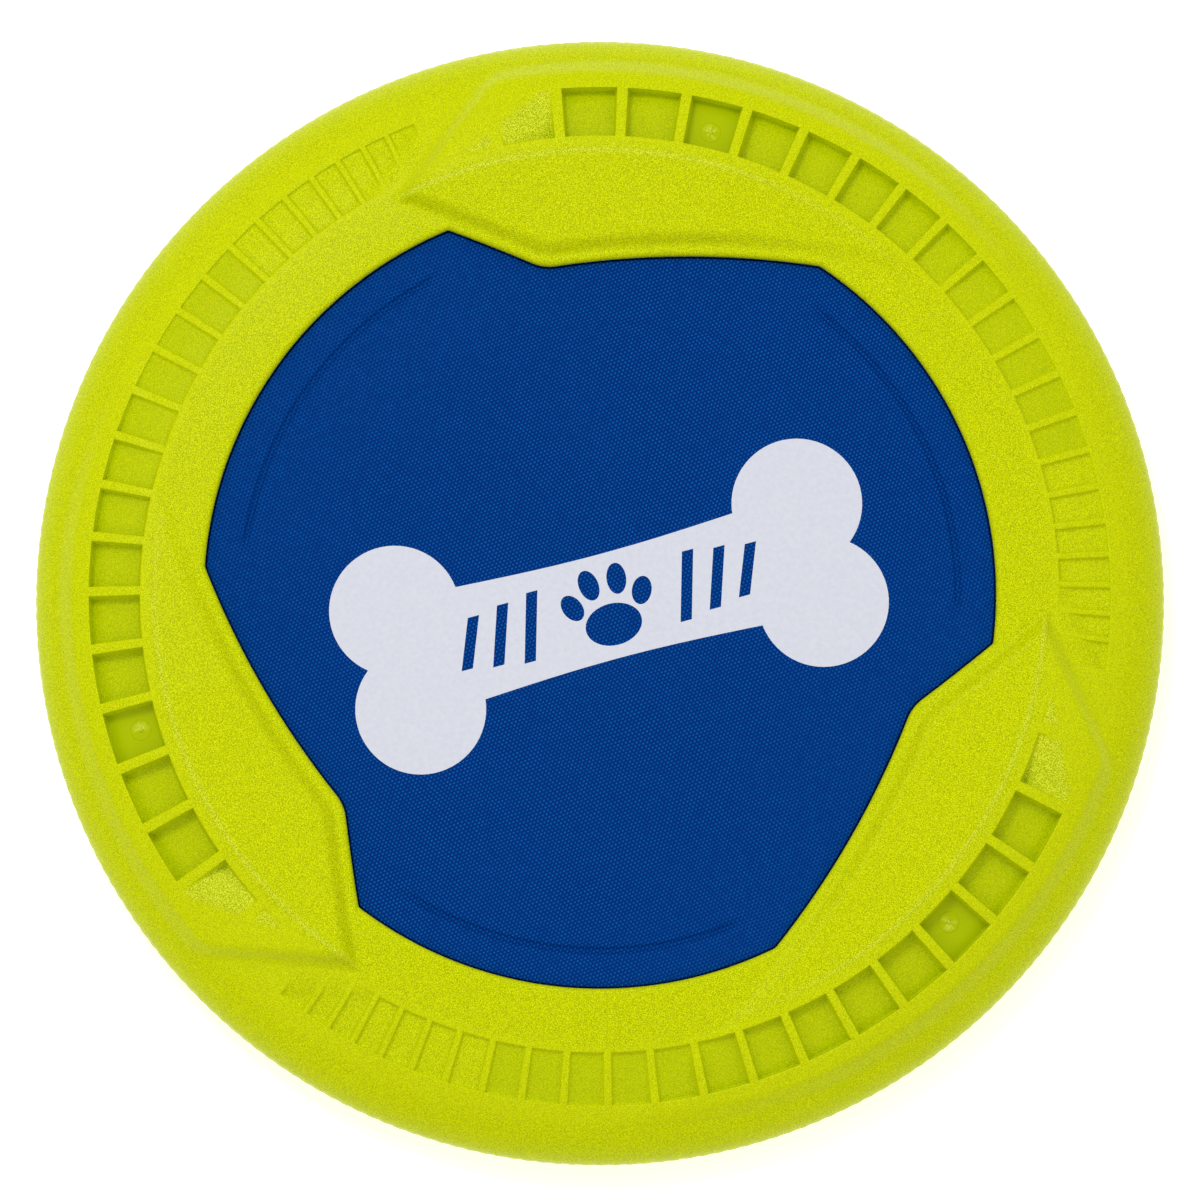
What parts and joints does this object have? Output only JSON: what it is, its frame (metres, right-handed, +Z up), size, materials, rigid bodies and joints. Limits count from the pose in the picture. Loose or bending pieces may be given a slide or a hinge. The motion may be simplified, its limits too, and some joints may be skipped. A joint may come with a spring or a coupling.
{
  "type": "flying disc dog toy",
  "caption": "Soft flying disc for dogs: a domed rubber ring with three swept blades and ribbed pockets, moulded round a padded woven nylon centre.",
  "frame": {"origin": "centre of the plane that the ring's lip rests on", "axes": "+Z up along the disc's axis, from the hollow underside to the domed top; +Y towards the first blade, +X to its right seen from above; the blades sweep clockwise seen from above"},
  "size_m": [0.254, 0.254, 0.0322],
  "materials": {
    "lime_rubber": "fine matt spark-eroded grain with a soft sheen",
    "blue_nylon": "plain weave, coated back",
    "grey_foam": "closed-cell foam",
    "white_film": "heat-transfer film, satin"
  },
  "bodies": {
    "root": {"rim_ring": "lime_rubber", "nylon_face_top": "blue_nylon", "foam_core": "grey_foam", "nylon_face_bottom": "blue_nylon", "graphic_transfer": "white_film"}
  },
  "joints": []
}
